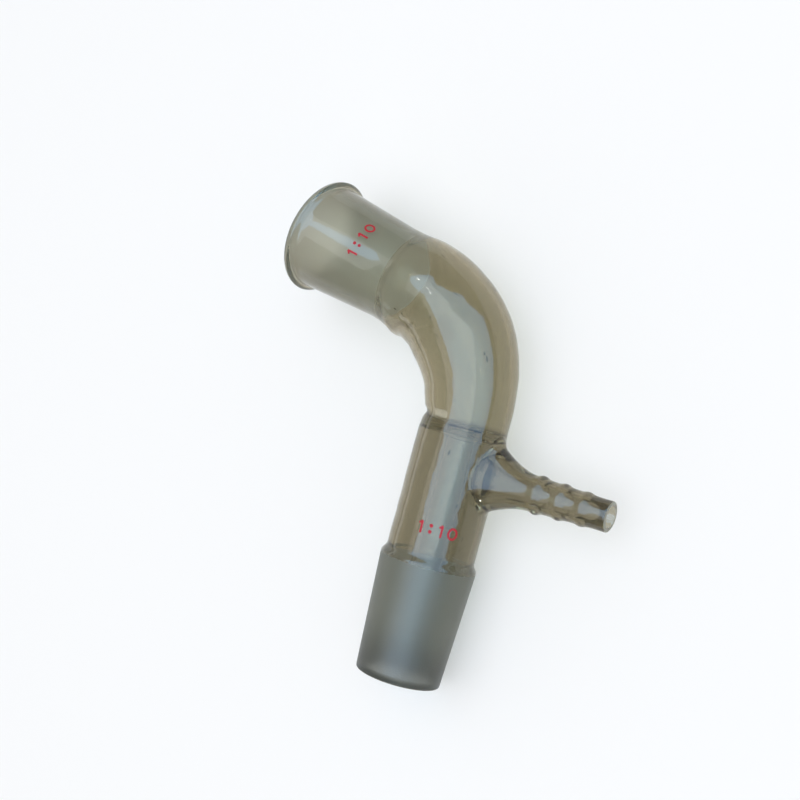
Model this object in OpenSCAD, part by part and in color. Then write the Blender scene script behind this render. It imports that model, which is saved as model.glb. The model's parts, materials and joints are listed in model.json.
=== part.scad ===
// Vacuum take-off adapter: one fused piece of borosilicate glass.
//
// It is built about the axis of its body: Z runs up the body towards the bend, and X runs out
// along the vacuum side arm. lay_down() then turns it onto its side, the way it comes to rest,
// with the origin on the table under the middle of its box.

/* [Ground joints] */
// Diameter at the wide end of both ground tapers
joint_wide_d = 24; // [23.6:0.1:24.4]
// Length of both ground tapers
joint_length = 29; // [27:0.5:30]
// Taper of both joints, in diameter over length
joint_taper = 0.1; // [0.09:0.01:0.11]

/* [Body] */
// Outside diameter of the straight body
body_d = 22; // [21:0.1:23]
// Wall of the body
body_wall = 1.6; // [1.2:0.1:2]
// Height of the shoulder between the ground cone and the body
shoulder_h = 2.4; // [1.5:0.1:4]
// Height at which the body starts to draw in to the neck
body_top = 31.5; // [30:0.1:33]
// Height of the neck, where the bend is joined on
neck_z = 35.6; // [35:0.1:37]
// Outside diameter of the neck
neck_d = 21.3; // [20.6:0.1:22]

/* [Drip tube] */
// Outside diameter of the inner drip tube
drip_d = 9.3; // [8:0.1:11]
// Wall of the drip tube
drip_wall = 1.3; // [1:0.1:1.8]
// Height of the drip tip above the narrow end of the ground cone
drip_tip_gap = 4.5; // [2:0.5:12]
// Slant of the drip tip
drip_slant = 25; // [0:1:40]
// Thickness of the ring seal that joins the drip tube to the neck
seal_t = 1.8; // [1.6:0.1:3]

/* [Bend] */
// Outside diameter of the bent tube
bend_d = 25.8; // [24:0.1:26]
// Wall of the bent tube
bend_wall = 1.8; // [1.4:0.1:2.4]
// Radius of the bend at the tube's centre
bend_radius = 31; // [28:0.5:36]
// Angle through which the bend turns
bend_angle = 77; // [60:1:85]
// Length over which the neck opens out to the bent tube
flare_length = 15; // [12:0.5:17]

/* [Socket] */
// Straight tube between the bend and the socket's own taper
socket_lead = 7; // [5:0.1:10]
// Outside diameter of the socket where it leaves the bend
socket_root_d = 24.6; // [24:0.1:25]
// Outside diameter of the socket behind its lip
socket_mouth_d = 27.5; // [27:0.1:29]
// Length of the socket's taper, from its root to its lip
socket_length = 22.1; // [21:0.1:26]
// Outside diameter of the rolled lip
lip_d = 30.6; // [30:0.1:33]
// Radius of the bead that makes the lip
bead_r = 1.85; // [1.75:0.05:2.2]

/* [Side arm] */
// Height of the side arm above the wide end of the ground cone
arm_z = 23.8; // [20:0.1:25]
// Distance from the body's axis to the end of the side arm
arm_length = 42; // [38:0.5:50]
// Outside diameter of the side arm behind its ridges
arm_neck_d = 8.7; // [8:0.1:10]
// Outside diameter of the plain land at the end of the side arm
arm_tip_d = 7.5; // [7:0.1:8]
// Bore of the side arm
arm_bore_d = 5.2; // [4:0.1:5.6]
// Number of hose ridges
ridge_count = 3; // [1:1:3]
// Distance between hose ridges
ridge_pitch = 5.9; // [5:0.1:6.2]
// Height of a hose ridge above the arm
ridge_h = 0.45; // [0.2:0.05:0.6]
// Reach of the arm's flared root along the body, either side of the arm
root_reach = 9.5; // [8:0.1:10]

/* [Rest] */
// Turn about the table's X axis that settles the socket and the cone
rest_pitch = 1; // [0:0.1:5]
// Turn about the table's Y axis that settles the bend
rest_roll = 2.2; // [-5:0.1:5]

/* [Hidden] */
$fn = 96;
glass_tint = [0.72, 0.75, 0.66, 0.45];
past = 1;                                // how far a cut runs past the face it opens
profile_reach = 200;                     // further out than any profile is drawn
joint_wide_r = joint_wide_d / 2;
joint_narrow_r = (joint_wide_d - joint_length * joint_taper) / 2;
body_r = body_d / 2;
body_bore_r = body_r - body_wall;
neck_r = neck_d / 2;
cone_bore_r = joint_narrow_r - body_wall;
cone_edge = 0.6;                         // melted edge at the cone's narrow end
shoulder_swell = 0.3;                    // how far the shoulder stands out under the body
neck_overlap = 0.6;                      // how far the body's neck runs into the bend
drip_r = drip_d / 2;
drip_bore_r = drip_r - drip_wall;
drip_end_z = drip_tip_gap - joint_length;
drip_lead_in = 0.6;                      // bevel at the top of the drip tube's bore
seal_slope = 6;                          // how steeply the ring seal dishes towards the drip tube
seal_round = 0.9;                        // fillet under the ring seal, at the body's wall
chamber_r = neck_r - bend_wall;          // bore at the neck
seal_top = neck_z - 1;                   // where the ring seal meets the neck's wall
seal_drop = (chamber_r - drip_bore_r) * tan(seal_slope);
seal_under = seal_top - seal_drop - seal_t;
bend_r = bend_d / 2;
bend_bore_r = bend_r - bend_wall;
flare_tilt = flare_length / bend_radius * 90 / PI;
flare_shift = 0.3;                       // the bend is joined on a little towards the side arm
socket_root_r = socket_root_d / 2;
socket_mouth_r = socket_mouth_d / 2;
lip_r = lip_d / 2;
lip_sink = 0.15;                         // how far the lip's bead sinks into the socket's taper
mouth_at = socket_lead + socket_length + 2 * bead_r - lip_sink;
ground_from = mouth_at - joint_length;   // depth at which the socket's ground taper ends
mouth_edge = 0.5;                        // melted edge at the socket's mouth
weld_overlap = 0.5;                      // how far the socket's tube runs into the bend
weld_step = 0.05;                        // how much slimmer the socket's tube is at that weld
arm_neck_r = arm_neck_d / 2;
arm_tip_r = arm_tip_d / 2;
arm_bore_r = arm_bore_d / 2;
arm_straight_x = 21.3;                   // where the flared root has become the straight arm
arm_tip_land = 3.6;                      // plain land at the arm's end, which takes the hose first
root_x = 6.5;                            // where the flared root starts, inside the body's wall
root_half_y = 6.4;                       // reach of the flared root around the body's wall
root_margin = 1.5;                       // how much wider the root's blank is drawn than its reach
ridge_r = 2.4;                           // radius of a ridge's crest

// Radius of the straight arm's slow taper at a distance x from the body's axis
function arm_r(x) =
    let (end_x = arm_length - arm_tip_land)
    arm_neck_r + (arm_tip_r - arm_neck_r) * min(1, (x - arm_straight_x) / (end_x - arm_straight_x));

// Centre of the socket's mouth in the body's frame, and the box once the part lies down
mouth_x = -bend_radius * (1 - cos(bend_angle)) - mouth_at * sin(bend_angle);
mouth_z = neck_z + bend_radius * sin(bend_angle) + mouth_at * cos(bend_angle);
lip_x = mouth_x + bead_r * sin(bend_angle);
lip_z = mouth_z - bead_r * cos(bend_angle);
box_x_low = lip_x - (lip_r - bead_r) * cos(bend_angle) - bead_r;
box_y_high = lip_z + (lip_r - bead_r) * sin(bend_angle) + bead_r;
box_x_mid = (box_x_low + arm_length) / 2;
box_y_mid = (box_y_high - joint_length) / 2;

// Height of the body's axis over the table: the lip's lowest point touches it
lip_rise = lip_z * sin(rest_pitch) * cos(rest_roll) - lip_x * sin(rest_roll);
lip_lean = sin(bend_angle) * sin(rest_roll) + cos(bend_angle) * sin(rest_pitch) * cos(rest_roll);
rest_h = (lip_r - bead_r) * sqrt(1 - lip_lean * lip_lean) + bead_r - lip_rise;

// A solid of revolution about the Z axis, from a profile drawn as radius and height
module turned() {
    rotate_extrude()
        intersection() {
            translate([0, -profile_reach])
                square([profile_reach / 2, 2 * profile_reach]);
            children();
        }
}

// Moves its children from the body's axis onto the axis of the socket, at the end of the bend
module at_socket() {
    translate([-bend_radius, 0, neck_z])
        rotate([0, -bend_angle, 0])
            translate([bend_radius, 0, 0])
                children();
}

// The bent tube as a solid bar of a given radius. Up to the end of the flare it is trimmed by a
// bell that opens from the neck's own radius, so that the tube flares out of the neck
module bent_bar(radius, at_neck) {
    inner_at = flare_length - radius * sin(flare_tilt);
    inner_reach = radius * cos(flare_tilt) + flare_shift + weld_step;
    slope = (inner_reach - at_neck) / inner_at;
    intersection() {
        translate([-bend_radius, 0, neck_z])
            rotate([90, 0, 0])
                rotate_extrude(angle = bend_angle)
                    translate([bend_radius, 0])
                        circle(radius);
        union() {
            translate([flare_shift, 0, neck_z])
                rotate([0, -flare_tilt, 0])
                    translate([0, 0, -flare_length])
                        cylinder(
                            h = 3 * flare_length,
                            r1 = at_neck - slope * flare_length,
                            r2 = at_neck + slope * 2 * flare_length
                        );
            translate([-bend_radius, 0, neck_z])
                rotate([0, -2 * flare_tilt, 0])
                    translate([0, -bend_radius, 0])
                        cube(2 * bend_radius);
        }
    }
}

// Ground cone, body and neck as a solid
module body_bar() {
    shoulder_arc_r = (pow(neck_z - body_top, 2) + pow(body_r - neck_r, 2)) / (2 * (body_r - neck_r));
    turned() {
        polygon([
            [0, -joint_length],
            [joint_narrow_r - cone_edge, -joint_length],
            [joint_narrow_r, cone_edge - joint_length],
            [joint_wide_r, 0],
            [joint_wide_r, 0.2 * shoulder_h],
            [body_r + shoulder_swell, 0.8 * shoulder_h],
            [body_r, shoulder_h],
            [body_r, body_top],
            [0, body_top]
        ]);
        intersection() {
            translate([body_r - shoulder_arc_r, body_top])
                circle(shoulder_arc_r, $fn = 360);
            translate([0, body_top])
                square([body_r, neck_z - body_top + neck_overlap]);
        }
    }
}

// Space inside the body and the cone, up to the underside of the ring seal
module body_space() {
    ceiling = seal_under + (body_bore_r - drip_r) * tan(seal_slope);
    turned() {
        polygon([
            [0, -joint_length - past],
            [cone_bore_r, -joint_length - past],
            [cone_bore_r, -joint_length],
            [body_bore_r, -joint_length / 2],
            [body_bore_r, ceiling - seal_round],
            [body_bore_r - seal_round, ceiling - seal_round],
            [body_bore_r - seal_round, ceiling - seal_round * tan(seal_slope)],
            [drip_r, seal_under],
            [0, seal_under]
        ]);
        translate([body_bore_r - seal_round, ceiling - seal_round])
            circle(seal_round);
    }
}

// The hanging drip tube, cut to a slanted tip
module drip_tube() {
    difference() {
        translate([0, 0, drip_end_z])
            cylinder(h = seal_under + seal_t / 2 - drip_end_z, r = drip_r);
        translate([-drip_r, 0, drip_end_z])
            rotate([0, -drip_slant, 0])
                translate([-drip_d, -drip_d, -2 * drip_d])
                    cube([4 * drip_d, 2 * drip_d, 2 * drip_d]);
    }
}

// Bore of the drip tube and the dished top of the ring seal, open to the bend
module drip_bore() {
    turned()
        polygon([
            [0, drip_end_z - past],
            [drip_bore_r, drip_end_z - past],
            [drip_bore_r, seal_top - seal_drop - drip_lead_in],
            [drip_bore_r + drip_lead_in, seal_top - seal_drop],
            [chamber_r, seal_top],
            [chamber_r, neck_z + neck_overlap],
            [0, neck_z + neck_overlap]
        ]);
}

// The socket's outside: a taper that ends in a rolled lip
module socket_bar() {
    at_socket()
        turned() {
            polygon([
                [0, -weld_overlap],
                [bend_r - weld_overlap, -weld_overlap],
                [bend_r - weld_step, 0],
                [socket_root_r, 0.8 * socket_lead],
                [socket_root_r, socket_lead],
                [socket_mouth_r, socket_lead + socket_length],
                [lip_r - bead_r, socket_lead + socket_length],
                [lip_r - bead_r, mouth_at],
                [0, mouth_at]
            ]);
            intersection() {
                translate([lip_r - bead_r, mouth_at - bead_r])
                    circle(bead_r);
                square([lip_r + past, mouth_at]);
            }
        }
}

// The socket's bore, with its ground taper open at the mouth
module socket_bore() {
    at_socket()
        turned()
            polygon([
                [0, -weld_overlap],
                [bend_bore_r - weld_overlap, -weld_overlap],
                [bend_bore_r - weld_step, 0],
                [joint_narrow_r, ground_from],
                [joint_wide_r - mouth_edge * joint_taper / 2, mouth_at - mouth_edge],
                [joint_wide_r + mouth_edge, mouth_at],
                [joint_wide_r + mouth_edge, mouth_at + past],
                [0, mouth_at + past]
            ]);
}

// Straight part of the side arm with its land and hose ridges, turned about the arm's axis
module arm_bar() {
    land_x = arm_length - arm_tip_land;
    tip_edge = 0.4;
    translate([0, 0, arm_z])
        rotate([0, 90, 0])
            turned() {
                polygon([
                    [0, root_x],
                    [arm_neck_r, root_x],
                    [arm_neck_r, arm_straight_x],
                    [arm_tip_r, land_x],
                    [arm_tip_r, arm_length - tip_edge],
                    [arm_tip_r - tip_edge, arm_length],
                    [0, arm_length]
                ]);
                for (ridge = [0 : ridge_count - 1]) {
                    x = arm_straight_x + ridge_r + ridge * ridge_pitch;
                    translate([arm_r(x) + ridge_h - ridge_r, x])
                        circle(ridge_r);
                }
            }
}

// Area under a hollow arc that ends on the straight arm: distance out from the arm's axis
// against distance from the body's axis
module root_outline(at_wall, widest) {
    run = arm_straight_x - body_r;
    rise = at_wall - arm_neck_r;
    arc_r = (run * run + rise * rise) / (2 * rise);
    difference() {
        translate([0, root_x])
            square([widest, arm_straight_x - root_x]);
        translate([arm_neck_r + arc_r, arm_straight_x])
            circle(arc_r, $fn = 360);
    }
}

// The arm's flared root: it spreads widely along the body, and less around it
module arm_root() {
    intersection() {
        translate([0, 0, arm_z])
            rotate([0, 90, 0])
                turned()
                    root_outline(root_reach, root_reach + root_margin);
        for (side = [0, 1])
            mirror([0, side, 0])
                translate([0, 0, arm_z - 2 * root_reach])
                    linear_extrude(4 * root_reach)
                        mirror([1, -1])
                            root_outline(root_half_y, 2 * root_reach);
    }
}

// Bore of the side arm, which opens out into the body
module arm_bore() {
    open_r = 6;
    open_span = arm_straight_x - body_bore_r;
    rise = open_r - arm_bore_r;
    flare_r = (open_span * open_span + rise * rise) / (2 * rise);
    translate([0, 0, arm_z])
        rotate([0, 90, 0])
            turned() {
                square([arm_bore_r, arm_length + past]);
                difference() {
                    translate([0, body_bore_r - past])
                        square([open_r + past, open_span + past]);
                    translate([arm_bore_r + flare_r, arm_straight_x])
                        circle(flare_r, $fn = 360);
                }
            }
}

// The whole adapter about its body's axis
module adapter_glass() {
    difference() {
        union() {
            difference() {
                union() {
                    body_bar();
                    bent_bar(bend_r, neck_r);
                    arm_root();
                    arm_bar();
                }
                body_space();
                arm_bore();
            }
            drip_tube();
            socket_bar();
        }
        union() {
            drip_bore();
            bent_bar(bend_bore_r, chamber_r);
            socket_bore();
        }
    }
}

// Turns the adapter onto its side, with the side arm along X and the body's axis along Y
module lay_down() {
    translate([-box_x_mid, -box_y_mid, rest_h])
        rotate([rest_pitch, rest_roll, 0])
            rotate([-90, 0, 0])
                children();
}

module adapter() {
    color(glass_tint)
        lay_down()
            adapter_glass();
}

adapter();
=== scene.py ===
"""Looks of a vacuum take-off adapter: one fused piece of borosilicate glass that lies on a pale table.

Shapes are worked out in the body's own frame, in millimetres: the origin is at the wide end of the
ground cone, Z runs up the body towards the bend and X runs out along the side arm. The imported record's
mounts say where that frame lies.
"""

import json
import math

import bmesh
import bpy
import numpy as np
from mathutils import Matrix, Vector


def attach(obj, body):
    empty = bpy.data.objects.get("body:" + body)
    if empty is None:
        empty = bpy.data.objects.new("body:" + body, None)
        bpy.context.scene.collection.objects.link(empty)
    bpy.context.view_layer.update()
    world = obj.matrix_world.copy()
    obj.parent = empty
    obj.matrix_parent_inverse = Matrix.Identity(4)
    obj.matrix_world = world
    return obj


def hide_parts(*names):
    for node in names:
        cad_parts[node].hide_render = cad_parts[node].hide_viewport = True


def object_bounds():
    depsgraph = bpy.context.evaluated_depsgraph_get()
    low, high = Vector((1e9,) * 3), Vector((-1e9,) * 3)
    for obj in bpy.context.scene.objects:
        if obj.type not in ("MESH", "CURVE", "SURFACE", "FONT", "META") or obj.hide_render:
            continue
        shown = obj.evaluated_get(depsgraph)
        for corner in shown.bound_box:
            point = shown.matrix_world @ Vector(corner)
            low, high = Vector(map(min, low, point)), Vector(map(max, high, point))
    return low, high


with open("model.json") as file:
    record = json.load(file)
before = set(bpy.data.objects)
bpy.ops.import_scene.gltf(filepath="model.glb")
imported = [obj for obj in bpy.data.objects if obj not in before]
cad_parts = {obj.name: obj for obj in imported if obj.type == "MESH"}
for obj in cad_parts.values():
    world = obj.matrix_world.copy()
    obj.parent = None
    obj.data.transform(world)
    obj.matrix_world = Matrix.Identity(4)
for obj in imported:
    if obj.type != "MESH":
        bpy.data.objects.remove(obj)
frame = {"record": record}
cad_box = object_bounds()

MM = 0.001
AROUND = 112                    # points around a ring of the glass
ARM_AROUND = 72                 # points around a ring of the side arm

# Ground joints
JOINT = 29.0                    # length of both ground tapers
WIDE = 12.0                     # radius at their wide end
NARROW = 10.55                  # radius at their narrow end
EDGE = 0.6                      # melted edge of the cone
CONE_WALL = 1.6                 # wall at the cone's narrow end
SHOULDER_LAND = 0.4             # plain band at the cone's wide end
SHOULDER = 2.6                  # where the shoulder has reached the body

# Body and drip tube
BODY = 11.0
BODY_BORE = 9.4
BODY_TOP = 31.5
NECK_Z = 35.6
NECK = 10.65
DRIP = 4.65
DRIP_BORE = 3.35
DRIP_TIP_Z = -24.5
DRIP_SLANT = math.radians(25)
SEAL_TOP = NECK_Z - 1.0         # the ring seal between the neck and the drip tube
SEAL_DROP = 0.55
SEAL = 1.8
SEAL_FILLET = 0.9               # under the ring seal, at the body's wall
DRIP_LEAD_IN = 0.7              # rounding at the top of the drip tube's bore
DRIP_BLEND = 12.0               # length over which the slant of the drip tip fades out

# Bend and socket
BEND_RADIUS = 31.0
BEND_ANGLE = math.radians(77)
TUBE = 12.9
WALL = 1.8
FLARE_END = NECK_Z + 23.7       # distance along the axis at which the flare has reached the full tube
BEND_END = NECK_Z + BEND_RADIUS * BEND_ANGLE
SOCKET_ROOT = 12.3
SOCKET_LEAD = 7.0               # straight tube between the bend and the socket's taper
SOCKET_LIP = BEND_END + 29.1    # where the socket's taper meets the lip
SOCKET_WIDE = 13.75
MOUTH = BEND_END + 32.65
LIP = 15.25
BEAD = 1.85

# Side arm
ARM_Z = 23.8
ARM_END = 42.0
ARM = 4.35
ARM_TIP = 3.75
ARM_BORE = 2.6
ARM_STRAIGHT = 21.3             # where the flared root has become the straight arm
ARM_LAND = 3.6
ARM_EDGE = 0.4                  # melted edge of the side arm's tip
ROOT_END = 22.3                 # where the flared root has died out
ROOT_ALONG = 9.2                # its reach up the body
ROOT_BELOW = 7.9                # and down the body
ROOT_ACROSS = 6.4               # and around it
ROOT_FILLET = 1.6
BORE_MOUTH = 6.0
RIDGES = 3
RIDGE_PITCH = 5.9
RIDGE_H = 0.45
RIDGE_AT = 2.4                  # from the end of the root to the first ridge's crest
RIDGE_WIDTH = 1.1
FIRST_RIDGE = 1.2               # height of the first ridge, in RIDGE_H
RIDGE_FADE = 0.2                # how much lower each further ridge is, in RIDGE_H

SEEDS = 26                      # small bubbles in the glass

# Colours of the glass: a painted tan backdrop with painted shade on its skin, the ground cone's grey-green
# whose dark tone is painted backdrop and shade, and the ground bore of the socket
# painted tan backdrop and shade: the colour of a backdrop seen through clear glass
PAINTED_SKIN_BACKDROP = (0.34, 0.29, 0.18)
# the ground cone's grey-green: frosted glass whose dark tone is a painted backdrop and shade
CONE_TINT_AND_PAINTED_BACKDROP = (0.20, 0.205, 0.165)
SOCKET_TINT = (0.64, 0.67, 0.66)
TIP_TINT = (0.62, 0.62, 0.52)
# painted shade: the body's skin made darker than the bend's
BODY_PAINTED_SHADE = 0.73               # the body's skin, as a share of the bend's
# painted shade: the ground cone darker towards its narrow end
CONE_TIP_PAINTED_SHADE = 0.58            # of the cone's tint, towards its narrow end
# painted shade: the socket's ground bore darker towards its mouth
MOUTH_PAINTED_SHADE = 0.4           # of the socket's tint, towards its mouth
FLAME_WAVES = 0.045             # height of the soft waves in the drawn glass
TABLE = 12                      # width of the table, in metres
BOUNCES = 32                    # of light inside the glass

# Camera: it looks at AIM from the side, turned round the body's axis towards the side arm
AIM = (-15.1, -7.9, 36.7)
DISTANCE = 317.8
TURN = math.radians(29.7)
PITCH = math.radians(-1.2)
ROLL = math.radians(15.1)
LENS = 58.4
SENSOR = 36


# ---------------------------------------------------------------- the body's frame

mounts = {mount["name"]: mount for mount in frame["record"]["mounts"]}
body_up = -Vector(mounts["cone_joint"]["axis"])
arm_way = Vector(mounts["hose_tip"]["axis"])
across = body_up.cross(arm_way)
AXES = np.array([arm_way, across, body_up])
ORIGIN = np.array(mounts["cone_joint"]["pos_m"])


def placed(points):
    """Points of the body's frame, in millimetres, in the row frame, in metres."""
    return ORIGIN + np.asarray(points, float) @ AXES * MM


def unplaced(points):
    """Points of the row frame, in metres, in the body's frame, in millimetres."""
    return (np.asarray(points, float) - ORIGIN) @ AXES.T / MM


# ---------------------------------------------------------------- outlines and sweeps

def smooth(t):
    """Eases from 0 to 1 as t does."""
    t = np.clip(t, 0, 1)
    return t * t * (3 - 2 * t)


def line(start, end, step=1.5):
    """A straight outline from start to end."""
    count = max(1, round(math.dist(start, end) / step))
    return [tuple(np.array(start) + (np.array(end) - start) * i / count) for i in range(count + 1)]


def ease(start, end, count=8):
    """An outline from start to end whose radius changes smoothly."""
    return [
        (start[0] + (end[0] - start[0]) * i / count,
         start[1] + (end[1] - start[1]) * float(smooth(i / count)))
        for i in range(count + 1)
    ]


def arc(centre, radius, start, end, count=6):
    """Part of a circle from one angle to another: 0 points along the axis and 90 away from it."""
    angles = np.radians(np.linspace(start, end, count + 1))
    return [(centre[0] + radius * math.cos(a), centre[1] + radius * math.sin(a)) for a in angles]


def joined(*outlines):
    """Outlines one after another, without doubled points."""
    points = []
    for outline in outlines:
        for point in outline:
            if not points or math.dist(points[-1], point) > 0.01:
                points.append(point)
    return np.array(points)


def station(along):
    """Centre of the tube and the direction away from the bend's centre, at distances along its axis."""
    angle = np.clip((along - NECK_Z) / BEND_RADIUS, 0, BEND_ANGLE)
    zero = np.zeros_like(along)
    side = np.stack([np.cos(angle), zero, np.sin(angle)], -1)
    tangent = np.stack([-np.sin(angle), zero, np.cos(angle)], -1)
    straight = np.where(along < NECK_Z, along - NECK_Z, np.maximum(along - BEND_END, 0))
    centre = np.array([-BEND_RADIUS, 0, NECK_Z]) + BEND_RADIUS * side + tangent * straight[..., None]
    return centre, side


def grid_mesh(name, rings, closed):
    """A mesh through rings of points.

    Closed joins the last ring to the first; or else both ends are capped.
    """
    count, around = rings.shape[:2]
    faces = []
    for i in range(count if closed else count - 1):
        a, b = i * around, (i + 1) % count * around
        for j in range(around):
            k = (j + 1) % around
            faces.append((a + j, a + k, b + k, b + j))
    points = rings.reshape(-1, 3)
    if not closed:
        ends = np.array([rings[0].mean(0), rings[-1].mean(0)])
        points = np.concatenate([points, ends])
        last = (count - 1) * around
        for j in range(around):
            k = (j + 1) % around
            faces.append((k, j, count * around))
            faces.append((last + j, last + k, count * around + 1))
    mesh = bpy.data.meshes.new(name)
    mesh.from_pydata(placed(points).tolist(), [], faces)
    shell = bmesh.new()
    shell.from_mesh(mesh)
    bmesh.ops.recalc_face_normals(shell, faces=shell.faces)
    shell.to_mesh(mesh)
    shell.free()
    piece = bpy.data.objects.new(name, mesh)
    bpy.context.scene.collection.objects.link(piece)
    return piece


def cut_or_joined(piece, tool, operation):
    """Applies a boolean of piece with tool, and removes tool."""
    modifier = piece.modifiers.new("boolean", "BOOLEAN")
    modifier.operation = operation
    modifier.solver = "MANIFOLD"
    modifier.object = tool
    bpy.context.view_layer.update()
    made = bpy.data.meshes.new_from_object(piece.evaluated_get(bpy.context.evaluated_depsgraph_get()))
    piece.modifiers.clear()
    piece.data = made
    bpy.data.objects.remove(tool)


# ---------------------------------------------------------------- the glass

def outside_outline():
    """Outside of the glass, from the cone's narrow end over the bend to the socket's mouth."""
    return joined(
        arc((EDGE - JOINT, NARROW - EDGE), EDGE, 180, 90),
        line((EDGE - JOINT, NARROW + 0.02), (-0.4, WIDE - 0.02)),
        line((-0.4, WIDE - 0.02), (0.0, WIDE), 0.1),
        line((0.0, WIDE), (SHOULDER_LAND, WIDE), 0.2),
        ease((SHOULDER_LAND, WIDE), (SHOULDER, BODY)),
        line((SHOULDER, BODY), (BODY_TOP, BODY), 1.2),
        ease((BODY_TOP, BODY), (NECK_Z - 0.6, NECK), 5),
        line((NECK_Z - 0.6, NECK), (NECK_Z + 0.4, NECK), 0.5),
        ease((NECK_Z + 0.4, NECK), (FLARE_END, TUBE), 24),
        line((FLARE_END, TUBE), (BEND_END - 6, TUBE), 1),
        ease((BEND_END - 6, TUBE), (BEND_END + 1, SOCKET_ROOT)),
        line((BEND_END + 1, SOCKET_ROOT), (BEND_END + SOCKET_LEAD, SOCKET_ROOT)),
        line((BEND_END + SOCKET_LEAD, SOCKET_ROOT), (SOCKET_LIP, SOCKET_WIDE)),
        ease((SOCKET_LIP, SOCKET_WIDE), (MOUTH - BEAD, LIP)),
        arc((MOUTH - BEAD, LIP - BEAD), BEAD, 90, 0, 10),
    )


def bore_outline():
    """Bore from the socket's mouth through the bend and the ring seal's dish to the drip tip."""
    edge = 0.5
    drip_wall = (DRIP - DRIP_BORE) / 2
    dish = SEAL_TOP - SEAL_DROP
    return joined(
        arc((MOUTH - edge, WIDE + edge), edge, 0, -90, 4),
        line((MOUTH - edge, WIDE - 0.02), (MOUTH - JOINT, NARROW), 2),
        ease((MOUTH - JOINT, NARROW), (BEND_END, TUBE - WALL), 5),
        line((BEND_END, TUBE - WALL), (FLARE_END, TUBE - WALL), 1.5),
        ease((FLARE_END, TUBE - WALL), (NECK_Z + 0.4, NECK - WALL), 20),
        line((NECK_Z + 0.4, NECK - WALL), (SEAL_TOP + 0.6, NECK - WALL), 0.5),
        arc((SEAL_TOP + 0.6, NECK - WALL - 0.6), 0.6, 90, 180, 5),
        line((SEAL_TOP, NECK - WALL - 0.6), (dish, DRIP_BORE + DRIP_LEAD_IN), 0.9),
        arc((dish - DRIP_LEAD_IN, DRIP_BORE + DRIP_LEAD_IN), DRIP_LEAD_IN, 0, -90, 5),
        line((dish - DRIP_LEAD_IN, DRIP_BORE), (DRIP_TIP_Z + drip_wall, DRIP_BORE), 2),
        arc((DRIP_TIP_Z + drip_wall, DRIP - drip_wall), drip_wall, -90, -270, 8),
    )


def annulus_outline():
    """Outside of the drip tube, underside of the ring seal and bore of the body, back to the cone's end."""
    top = SEAL_TOP - SEAL_DROP - SEAL
    return joined(
        line((DRIP_TIP_Z + 0.7, DRIP), (18, DRIP), 2),
        ease((18, DRIP), (top - 1, DRIP + 0.25), 8),
        arc((top - 1, DRIP + 1.25), 1, -90, 0, 5),
        line((top, DRIP + 1.25), (top + 0.3, BODY_BORE - SEAL_FILLET), 0.7),
        arc((top - 0.6, BODY_BORE - SEAL_FILLET), SEAL_FILLET, 0, 90, 6),
        line((top - 0.6, BODY_BORE), (-JOINT / 2, BODY_BORE), 2),
        line((-JOINT / 2, BODY_BORE), (EDGE - JOINT, NARROW - CONE_WALL), 2),
        arc((EDGE - JOINT, NARROW - CONE_WALL + EDGE), EDGE, -90, -180, 4),
    )


# Small marks that the flame leaves: distance along the axis, angle around it with 0 away from the
# bend's centre, reach along, reach around in radians, and height
FLAME_MARKS = (
    (BEND_END - 1.5, 180, 3.8, 0.8, 1.15),
    (BEND_END - 1.0, 0, 3.0, 0.8, 0.3),
    (BEND_END - 20.0, 0, 16.0, 0.8, 0.25),
    (BEND_END - 15.0, 180, 5.0, 0.7, -0.3),
    (NECK_Z + 0.6, 180, 1.2, 0.9, -1.1),
    (NECK_Z + 5.0, 180, 3.5, 0.8, 0.35),
    (NECK_Z + 12.0, 60, 5.0, 0.7, 0.12),
    (BEND_END - 16.0, 250, 4.0, 0.8, 0.12),
)


def flame_shape(along, turn, phase):
    """How far the drawn and bent glass strays from its true radius."""
    drawn = smooth((along - 3) / 4) * (1 - smooth((along - BEND_END - 4) / 4))
    waves = (
        np.sin(0.31 * along + 2 * turn + phase)
        + 0.7 * np.sin(0.17 * along - 3 * turn + 2.1 * phase)
        + 0.5 * np.sin(0.83 * along + turn + 0.7 * phase)
    )
    waves += 0.3 * np.sin(1.7 * along - 2 * turn + phase) + 0.25 * np.sin(1.1 * along + 5 * turn - phase)
    shape = FLAME_WAVES * waves * drawn
    for at, angle, reach, reach_around, height in FLAME_MARKS:
        off = (turn - math.radians(angle) + math.pi) % (2 * math.pi) - math.pi
        shape = shape + height * np.exp(-((along - at) / reach) ** 2 - (off / reach_around) ** 2)
    return shape


def tube_rings(outline, phase, drip=False):
    """Rings of points around the tube's axis, one for each point of an outline."""
    turn = np.linspace(0, 2 * math.pi, AROUND, endpoint=False)[None, :]
    along, radius = outline[:, :1], outline[:, 1:]
    if drip:
        radius = radius + 0 * turn
        fade = smooth((DRIP_TIP_Z + DRIP_BLEND - along) / DRIP_BLEND) * (radius < 5)
        along = along + fade * math.tan(DRIP_SLANT) * (DRIP + radius * np.cos(turn))
    else:
        radius = radius + flame_shape(along, turn, phase)
        along = along + 0 * turn
    centre, side = station(along)
    return centre + radius[..., None] * (
        np.cos(turn)[..., None] * side + np.sin(turn)[..., None] * np.array([0, 1.0, 0])
    )


def glass_tube():
    """The cone, body, ring seal, drip tube, bend and socket as one closed shell."""
    bore = bore_outline()
    straight = np.flatnonzero(bore[:, 0] < SEAL_TOP - SEAL_DROP - DRIP_LEAD_IN)[0]
    rings = [
        tube_rings(outside_outline(), 0.0),
        tube_rings(bore[:straight], 1.0),
        tube_rings(bore[straight:], 0.0, drip=True),
        tube_rings(annulus_outline(), 0.0, drip=True),
    ]
    return grid_mesh("glass", np.concatenate(rings), closed=True)


def hollow_arc(x, run, rise):
    """Height above the straight arm, at a distance x from the body's axis, of an arc that ends on it."""
    radius = (run * run + rise * rise) / (2 * rise)
    left = np.clip(ARM_STRAIGHT - x, 0, run)
    return radius - np.sqrt(radius * radius - left * left)


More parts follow.
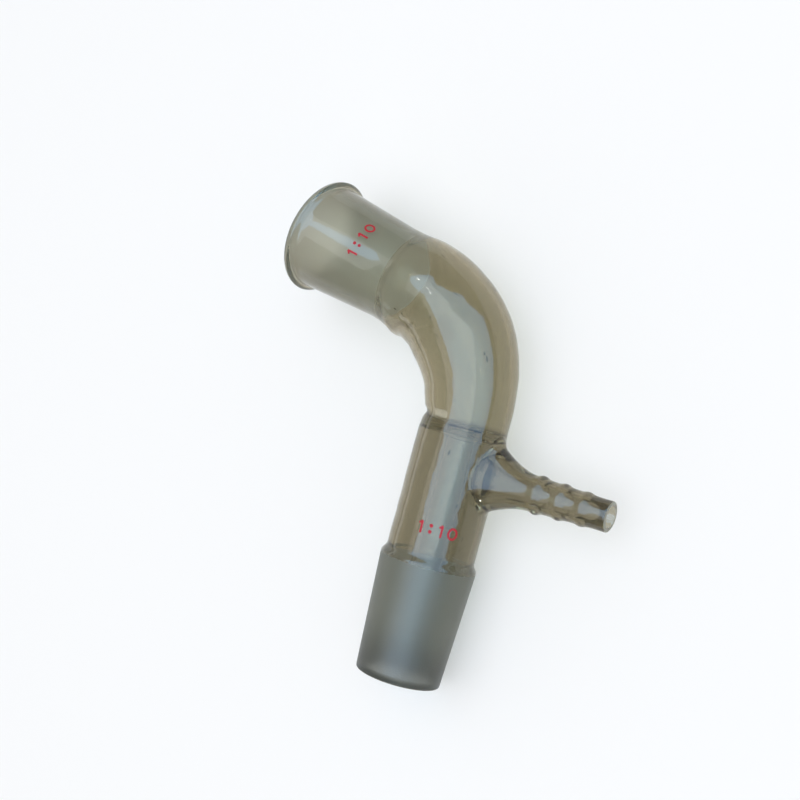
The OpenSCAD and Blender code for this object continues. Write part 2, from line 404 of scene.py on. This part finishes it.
def arm_shell():
    """The side arm as a solid bar: an oval root that flares into the body's wall, ridges and a plain tip."""
    land = ARM_END - ARM_LAND
    reach = np.concatenate([
        [-0.8, -0.3],
        np.linspace(-0.1, ROOT_FILLET, 9),
        np.linspace(ROOT_FILLET + 0.5, ARM_END - BODY - 0.4, 84),
    ])
    x = BODY + reach
    base = ARM + (ARM_TIP - ARM) * np.clip((x - ARM_STRAIGHT) / (land - ARM_STRAIGHT), 0, 1)
    for i in range(RIDGES):
        crest = ARM_STRAIGHT + RIDGE_AT + i * RIDGE_PITCH
        height = (FIRST_RIDGE - RIDGE_FADE * i) * RIDGE_H
        base = base + height * np.exp(-((x - crest) / RIDGE_WIDTH) ** 2)
    in_fillet = ROOT_FILLET - np.clip(reach + 0.1, 0, ROOT_FILLET)
    fillet = ROOT_FILLET - np.sqrt(ROOT_FILLET ** 2 - in_fillet ** 2)
    run = ARM_STRAIGHT - BODY
    spread = (np.clip(ROOT_END - x, 0, ROOT_END - BODY) / (ROOT_END - BODY)) ** 1.8
    half_up = base + spread * (ROOT_ALONG - ARM) + fillet
    half_low = base + spread * (ROOT_BELOW - ARM) + fillet
    half_y = base + spread * (ROOT_ACROSS - ARM) + 0.6 * fillet
    edge = arc((0, 0), ARM_EDGE, 90, 0, 4)[1:]
    x = np.append(x, [ARM_END - ARM_EDGE + a for a, r in edge])
    half_up, half_low, half_y = (
        np.append(half, [ARM_TIP - ARM_EDGE + r for a, r in edge]) for half in (half_up, half_low, half_y)
    )
    turn = np.linspace(0, 2 * math.pi, ARM_AROUND, endpoint=False)[None, :]
    y = half_y[:, None] * np.cos(turn)
    z = np.where(np.sin(turn) > 0, half_up[:, None], half_low[:, None]) * np.sin(turn)
    round_the_body = np.sqrt(x[:, None] ** 2 - y ** 2)
    straight = smooth((x - BODY) / run)[:, None]
    points = np.stack([round_the_body * (1 - straight) + x[:, None] * straight, y, z + ARM_Z], -1)
    return grid_mesh("arm", points, closed=False)


def arm_bore():
    """The side arm's bore, which opens out into the body."""
    x = np.concatenate([np.linspace(6.6, ARM_STRAIGHT, 24), [30, ARM_END - 0.3, ARM_END, ARM_END + 1]])
    radius = ARM_BORE + hollow_arc(x, ARM_STRAIGHT - BODY_BORE, BORE_MOUTH - ARM_BORE)
    radius[-2:] += (0.3, 0.3)
    turn = np.linspace(0, 2 * math.pi, ARM_AROUND, endpoint=False)[None, :]
    y = radius[:, None] * np.cos(turn)
    z = radius[:, None] * np.sin(turn) + ARM_Z
    return grid_mesh("bore", np.stack([x[:, None] + 0 * turn, y, z], -1), closed=False)


def tube_place(points):
    """Distance along the tube's axis and away from it, for points of the body's frame."""
    x, y, z = points.T
    up = z - NECK_Z
    angle = np.arctan2(up, x + BEND_RADIUS)
    end, side = station(np.array([BEND_END]))
    tangent = np.array([-side[0, 2], 0, side[0, 0]])
    past_end = (points - end) @ tangent
    on_socket = np.linalg.norm(points - end - past_end[:, None] * tangent, axis=1)
    on_bend = np.hypot(np.hypot(x + BEND_RADIUS, up) - BEND_RADIUS, y)
    straight, bent = up < 0, angle < BEND_ANGLE
    along = np.where(straight, z, np.where(bent, NECK_Z + BEND_RADIUS * angle, BEND_END + past_end))
    away = np.where(straight, np.hypot(x, y), np.where(bent, on_bend, on_socket))
    return along, away


def seeds():
    """Small drawn-out bubbles in the middle of the bend's and the body's wall."""
    draw = np.random.default_rng(7)
    rings = []
    for i in range(SEEDS):
        along = draw.uniform(NECK_Z + 4, BEND_END - 4) if i % 4 else draw.uniform(4, 28)
        turn = draw.uniform(0, 2 * math.pi)
        outside = BODY if along < NECK_Z else np.interp(along, [NECK_Z + 2, FLARE_END], [NECK + 0.2, TUBE])
        wall = BODY - BODY_BORE if along < NECK_Z else WALL
        length, thickness = draw.uniform(0.3, 0.9), draw.uniform(0.10, 0.2)
        caps = np.linspace(-0.92, 0.92, 7)
        angle = np.linspace(0, 2 * math.pi, 10, endpoint=False)[None, :]
        thick = thickness * np.sqrt(1 - caps ** 2)[:, None]
        distance = outside - wall / 2 + thick * np.cos(angle)
        around = turn + thick * np.sin(angle) / (outside - wall / 2)
        centre, side = station(np.repeat((along + length * caps)[:, None], 10, 1))
        rings.append(centre + distance[..., None] * (
            np.cos(around)[..., None] * side + np.sin(around)[..., None] * np.array([0, 1.0, 0])
        ))
    parts = [grid_mesh("seed", seed, closed=False) for seed in rings]
    with bpy.context.temp_override(active_object=parts[0], selected_editable_objects=parts):
        bpy.ops.object.join()
    return parts[0]


def mark_surfaces(piece):
    """Marks what is ground, and gives the skin, the bores and the ground surfaces their colours: a painted
    tan backdrop with painted shade on the skin, and painted shade towards the cone's narrow end and the
    socket's mouth.
    """
    points = np.empty(len(piece.data.vertices) * 3)
    piece.data.vertices.foreach_get("co", points)
    points = unplaced(points.reshape(-1, 3))
    along, away = tube_place(points)
    depth = MOUTH - along
    on_cone = (np.abs(away - (WIDE + 0.05 * along)) < 0.3) & (along < 0.2) & (along > 0.2 - JOINT)
    in_socket = (np.abs(away - (WIDE - 0.05 * depth)) < 0.3) & (depth > 0.4) & (depth < JOINT + 0.2)
    in_socket |= (depth <= 0.4) & (away < WIDE + 0.4)
    wall_mid = np.interp(
        along,
        [-JOINT, 0, 3, NECK_Z, FLARE_END, BEND_END, SOCKET_LIP, MOUTH],
        [9.8, 10.6, 10.2, 9.8, 12.0, 11.8, 12.7, 13.0],
    )
    from_arm = np.hypot(points[:, 1], points[:, 2] - ARM_Z)
    arm_bore_r = ARM_BORE + hollow_arc(points[:, 0], ARM_STRAIGHT - BODY_BORE, BORE_MOUTH - ARM_BORE)
    on_arm = (points[:, 0] > 8) & (away > BODY + 0.2) & (points[:, 2] < NECK_Z)
    skin = np.where(on_arm, from_arm > arm_bore_r + 0.5, (away > wall_mid) & ~in_socket)
    cut_end = points[:, 0] > ARM_END - 0.2
    tints_and_painted_shade = np.ones((len(points), 4))
    # painted tan backdrop and shade on the skin of the clear glass
    tints_and_painted_shade[skin, :3] = PAINTED_SKIN_BACKDROP
    # painted shade: the body's skin darker than the bend's
    tints_and_painted_shade[skin & (points[:, 2] < NECK_Z), :3] *= BODY_PAINTED_SHADE
    # painted shade: the ground cone darker towards its narrow end
    narrow_end_shade = smooth((-0.45 * JOINT - along) / (0.5 * JOINT))[:, None]
    cone_tint_and_painted_shade = np.array(CONE_TINT_AND_PAINTED_BACKDROP) * (1 - CONE_TIP_PAINTED_SHADE * narrow_end_shade)
    # the ground cone's grey-green, its dark tone a painted backdrop and shade
    tints_and_painted_shade[:, :3] = np.where(on_cone[:, None], cone_tint_and_painted_shade, tints_and_painted_shade[:, :3])
    # painted shade: the socket's ground bore darker towards its mouth
    mouth_shade = smooth(1 - depth / (0.6 * JOINT))[:, None]
    socket_tint_and_painted_shade = np.array(SOCKET_TINT) * (1 - MOUTH_PAINTED_SHADE * mouth_shade)
    tints_and_painted_shade[:, :3] = np.where(in_socket[:, None], socket_tint_and_painted_shade, tints_and_painted_shade[:, :3])
    tints_and_painted_shade[cut_end, :3] = TIP_TINT
    ground = piece.data.attributes.new("ground", "FLOAT", "POINT")
    ground.data.foreach_set("value", (on_cone | in_socket | cut_end).astype(np.float32))
    tint_and_painted_shade = piece.data.attributes.new("tint_and_painted_shade", "FLOAT_COLOR", "POINT")
    tint_and_painted_shade.data.foreach_set("color", tints_and_painted_shade.astype(np.float32).ravel())


# ---------------------------------------------------------------- fired numbers

def stroke(points, width, closed=False):
    """A flat ribbon of even width along a line of points: its left and right edges."""
    points = np.array(points, float)
    if closed:
        ahead, behind = np.roll(points, -1, 0), np.roll(points, 1, 0)
    else:
        ahead, behind = np.vstack([points[1:], points[-1]]), np.vstack([points[0], points[:-1]])
    way = ahead - behind
    way = way / np.linalg.norm(way, axis=1)[:, None]
    out = np.stack([-way[:, 1], way[:, 0]], -1) * width / 2
    return points + out, points - out


def glyphs(height, width):
    """Strokes of 1 : 1 0 set side by side, around the middle of the line."""
    def ring(x, y, rx, ry):
        turn = np.linspace(0, 2 * math.pi, 28, endpoint=False)
        return stroke(np.stack([x + rx * np.cos(turn), y + ry * np.sin(turn)], -1), width, closed=True), True

    def bar(*points):
        dense = [np.array(a) + (np.array(b) - a) * t for a, b in zip(points, points[1:])
                 for t in np.linspace(0, 1, 6)[:-1]]
        return stroke(dense + [np.array(points[-1])], width), False

    top, low = height / 2, -height / 2
    made = []
    for x in (-4.1, 0.9):
        made.append(bar((x, low), (x, top - 0.1)))
        made.append(bar((x - 0.75, top - 0.75), (x - 0.3, top - 0.45), (x + 0.02, top - 0.1)))
    for y in (-0.75, 0.75):
        made.append(ring(-1.8, y, 0.18, 0.18))
    made.append(ring(3.6, 0, 1.0, height / 2 - width / 2))
    return made


def fired_numbers(name, along, turn, surface, height=3.0, width=0.5):
    """Red numbers 1:10 that run around the tube at a distance along its axis, on a surface of that radius."""
    points, faces = [], []
    for (left, right), closed in glyphs(height, width):
        first, count = len(points), len(left)
        for flat in (left, right):
            for lift in (-0.02, 0.05):
                for u, v in flat:
                    points.append((along + v, turn + u / surface(along), lift))
        sets = [first + i * count for i in range(4)]
        pairs = ((0, 1), (1, 3), (3, 2), (2, 0))
        for i in range(count if closed else count - 1):
            k = (i + 1) % count
            for a, b in pairs:
                faces.append((sets[a] + i, sets[a] + k, sets[b] + k, sets[b] + i))
        if not closed:
            for i in (0, count - 1):
                faces.append(tuple(sets[a] + i for a in (0, 1, 3, 2)))
    spots = np.array(points)
    centre, side = station(spots[:, 0])
    radius = np.array([surface(a) for a in spots[:, 0]]) + spots[:, 2]
    radius = radius + flame_shape(spots[:, 0], spots[:, 1], 0.0)
    body = centre + radius[:, None] * (
        np.cos(spots[:, 1])[:, None] * side + np.sin(spots[:, 1])[:, None] * np.array([0, 1.0, 0])
    )
    mesh = bpy.data.meshes.new(name)
    mesh.from_pydata(placed(body).tolist(), [], faces)
    shell = bmesh.new()
    shell.from_mesh(mesh)
    bmesh.ops.recalc_face_normals(shell, faces=shell.faces)
    shell.to_mesh(mesh)
    shell.free()
    piece = bpy.data.objects.new(name, mesh)
    bpy.context.scene.collection.objects.link(piece)
    return piece


# ---------------------------------------------------------------- materials

def new_material(name):
    material = bpy.data.materials.new(name)
    material.use_nodes = True
    tree = material.node_tree
    return material, tree, tree.nodes["Principled BSDF"]


def glass_material():
    """Glass whose base colour carries a painted tan backdrop and painted shade, smooth with soft waves and a
    few uneven patches, and ground where the joints are.
    """
    material, tree, shader = new_material("borosilicate")
    nodes, links = tree.nodes, tree.links
    ground = nodes.new("ShaderNodeAttribute")
    ground.attribute_name = "ground"
    where = nodes.new("ShaderNodeTexCoord")

    # base colour from the tint attribute: painted tan backdrop and shade on the skin, painted shade on the
    # ground joints
    tint_and_painted_shade = nodes.new("ShaderNodeAttribute")
    tint_and_painted_shade.attribute_name = "tint_and_painted_shade"
    links.new(tint_and_painted_shade.outputs["Color"], shader.inputs["Base Color"])

    gloss = nodes.new("ShaderNodeMapRange")
    gloss.inputs["To Min"].default_value = 0.005
    gloss.inputs["To Max"].default_value = 0.42
    links.new(ground.outputs["Fac"], gloss.inputs["Value"])
    links.new(gloss.outputs["Result"], shader.inputs["Roughness"])

    grain = nodes.new("ShaderNodeTexNoise")
    grain.inputs["Scale"].default_value = 2600
    grain.inputs["Detail"].default_value = 2
    links.new(where.outputs["Object"], grain.inputs["Vector"])
    waves = nodes.new("ShaderNodeTexNoise")
    waves.inputs["Scale"].default_value = 170
    waves.inputs["Detail"].default_value = 1
    links.new(where.outputs["Object"], waves.inputs["Vector"])
    peel = nodes.new("ShaderNodeTexNoise")
    peel.inputs["Scale"].default_value = 1500
    links.new(where.outputs["Object"], peel.inputs["Vector"])
    patches = nodes.new("ShaderNodeTexNoise")
    patches.inputs["Scale"].default_value = 75
    links.new(where.outputs["Object"], patches.inputs["Vector"])
    patched = nodes.new("ShaderNodeMapRange")
    patched.inputs["From Min"].default_value = 0.52
    patched.inputs["From Max"].default_value = 0.66
    patched.inputs["To Max"].default_value = 0.3
    links.new(patches.outputs["Fac"], patched.inputs["Value"])
    drawn = nodes.new("ShaderNodeMath")
    drawn.operation = "MULTIPLY_ADD"
    links.new(peel.outputs["Fac"], drawn.inputs[0])
    links.new(patched.outputs["Result"], drawn.inputs[1])
    links.new(waves.outputs["Fac"], drawn.inputs[2])
    relief = nodes.new("ShaderNodeMix")
    relief.data_type = "FLOAT"
    links.new(ground.outputs["Fac"], relief.inputs["Factor"])
    links.new(drawn.outputs["Value"], relief.inputs["A"])
    links.new(grain.outputs["Fac"], relief.inputs["B"])
    bump = nodes.new("ShaderNodeBump")
    bump.inputs["Strength"].default_value = 0.25
    bump.inputs["Distance"].default_value = 0.0001
    links.new(relief.outputs["Result"], bump.inputs["Height"])
    links.new(bump.outputs["Normal"], shader.inputs["Normal"])

    clear = nodes.new("ShaderNodeMapRange")
    clear.inputs["To Min"].default_value = 1
    clear.inputs["To Max"].default_value = 0.72
    links.new(ground.outputs["Fac"], clear.inputs["Value"])
    links.new(clear.outputs["Result"], shader.inputs["Transmission Weight"])
    shader.inputs["IOR"].default_value = 1.47

    absorbed = nodes.new("ShaderNodeVolumeAbsorption")
    absorbed.inputs["Color"].default_value = (0.62, 0.57, 0.40, 1)
    absorbed.inputs["Density"].default_value = 45
    links.new(absorbed.outputs["Volume"], nodes["Material Output"].inputs["Volume"])

    lit = nodes.new("ShaderNodeLightPath")
    through = nodes.new("ShaderNodeBsdfTransparent")
    through.inputs["Color"].default_value = (0.95, 0.95, 0.94, 1)
    surface = nodes.new("ShaderNodeMixShader")
    links.new(lit.outputs["Is Shadow Ray"], surface.inputs["Fac"])
    links.new(shader.outputs["BSDF"], surface.inputs[1])
    links.new(through.outputs["BSDF"], surface.inputs[2])
    links.new(surface.outputs["Shader"], nodes["Material Output"].inputs["Surface"])
    return material


def enamel_material():
    """Thin fired red enamel, slightly uneven."""
    material, tree, shader = new_material("red enamel")
    nodes, links = tree.nodes, tree.links
    where = nodes.new("ShaderNodeTexCoord")
    blotch = nodes.new("ShaderNodeTexNoise")
    blotch.inputs["Scale"].default_value = 900
    blotch.inputs["Detail"].default_value = 3
    links.new(where.outputs["Object"], blotch.inputs["Vector"])
    shade = nodes.new("ShaderNodeMix")
    shade.data_type = "RGBA"
    shade.inputs["A"].default_value = (0.36, 0.008, 0.018, 1)
    shade.inputs["B"].default_value = (0.52, 0.02, 0.035, 1)
    links.new(blotch.outputs["Fac"], shade.inputs["Factor"])
    links.new(shade.outputs["Result"], shader.inputs["Base Color"])
    shader.inputs["Roughness"].default_value = 0.5
    shader.inputs["Specular IOR Level"].default_value = 0.2
    return material


def table_material():
    """Matt white table top."""
    material, tree, shader = new_material("table")
    shader.inputs["Base Color"].default_value = (0.92, 0.92, 0.92, 1)
    shader.inputs["Roughness"].default_value = 0.9
    return material


# ---------------------------------------------------------------- building

glass = glass_tube()
cut_or_joined(glass, arm_shell(), "UNION")
cut_or_joined(glass, arm_bore(), "DIFFERENCE")
cut_or_joined(glass, seeds(), "DIFFERENCE")
glass.data.shade_smooth()
mark_surfaces(glass)
glass.data.materials.clear()
glass.data.materials.append(glass_material())
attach(glass, "root")
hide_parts("adapter")


def socket_surface(along):
    """Outside radius of the socket's taper."""
    length = SOCKET_LIP - BEND_END - SOCKET_LEAD
    return SOCKET_ROOT + (SOCKET_WIDE - SOCKET_ROOT) * max(0, along - BEND_END - SOCKET_LEAD) / length


def body_surface(along):
    """Outside radius of the body."""
    return BODY


enamel = enamel_material()
for piece in (
    fired_numbers("socket_numbers", BEND_END + 13, math.radians(-70), socket_surface),
    fired_numbers("body_numbers", 9.4, math.radians(-62), body_surface),
):
    piece.data.materials.append(enamel)
    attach(piece, "root")

# Table
bpy.ops.mesh.primitive_plane_add(size=TABLE, location=(0, 0, cad_box[0][2]))
table = bpy.context.object
table.name = "table"
table.data.materials.append(table_material())

# Light: a pale room, a large ceiling panel and a small lamp, then three lights that only the gloss sees:
# a low strip for the edges, a small sparkle and a cool window
world = bpy.data.worlds.new("room")
world.use_nodes = True
world.node_tree.nodes["Background"].inputs["Color"].default_value = (0.98, 0.99, 1.0, 1)
seen = world.node_tree.nodes.new("ShaderNodeLightPath")
strength = world.node_tree.nodes.new("ShaderNodeMapRange")
strength.inputs["To Min"].default_value = 0.56
strength.inputs["To Max"].default_value = 0.93
world.node_tree.links.new(seen.outputs["Is Camera Ray"], strength.inputs["Value"])
world.node_tree.links.new(strength.outputs["Result"], world.node_tree.nodes["Background"].inputs["Strength"])
bpy.context.scene.world = world


def softbox(name, place, aim, width, height, radiance, colour=(1, 1, 1)):
    """A rectangular light of a given brightness that shines from place to aim."""
    light = bpy.data.lights.new(name, "AREA")
    light.shape = "RECTANGLE"
    light.size, light.size_y = width, height
    light.energy, light.color = radiance * math.pi * width * height, colour
    lamp = bpy.data.objects.new(name, light)
    lamp.location = place
    lamp.rotation_euler = (Vector(aim) - Vector(place)).to_track_quat("-Z", "Y").to_euler()
    bpy.context.scene.collection.objects.link(lamp)
    return lamp


softbox("ceiling", (0.1, 0.0, 1.3), (0, 0, 0), 1.8, 1.8, 1.3)
softbox("lamp", (-0.25, 0.35, 0.75), (0, 0, 0), 0.025, 0.025, 30)
edge_light = softbox("edge_light", (-0.7, 0.0, 0.16), (0, 0, 0), 0.9, 0.12, 1.2, (0.95, 0.98, 1.0))
edge_light.visible_diffuse = False
sparkle = softbox("sparkle", (0.25, -0.8, 0.35), (0, 0, 0), 0.04, 0.04, 120)
sparkle.visible_diffuse = False
window = softbox("window", (0.28, 0.18, 0.53), (0, 0.04, 0), 1.0, 1.4, 3.4, (0.26, 0.58, 1.0))
window.visible_diffuse = False

# Camera
lifted = Matrix.Rotation(TURN, 3, "Z") @ Matrix.Rotation(math.pi / 2 + PITCH, 3, "X")
turned = lifted @ Matrix.Rotation(ROLL, 3, "Z")
seat = np.array(AIM) + DISTANCE * np.array(turned.col[2])
camera = bpy.data.objects.new("camera", bpy.data.cameras.new("camera"))
to_row = Matrix(AXES.T.tolist())
camera.matrix_world = Matrix.Translation(placed(seat).tolist()) @ (to_row @ turned).to_4x4()
camera.data.lens = LENS
camera.data.sensor_width = SENSOR
camera.data.clip_start = 0.01
bpy.context.scene.collection.objects.link(camera)
bpy.context.scene.camera = camera
bpy.context.scene.view_settings.view_transform = "Standard"
bpy.context.scene.cycles.max_bounces = BOUNCES
bpy.context.scene.cycles.transmission_bounces = BOUNCES
bpy.context.scene.cycles.glossy_bounces = BOUNCES
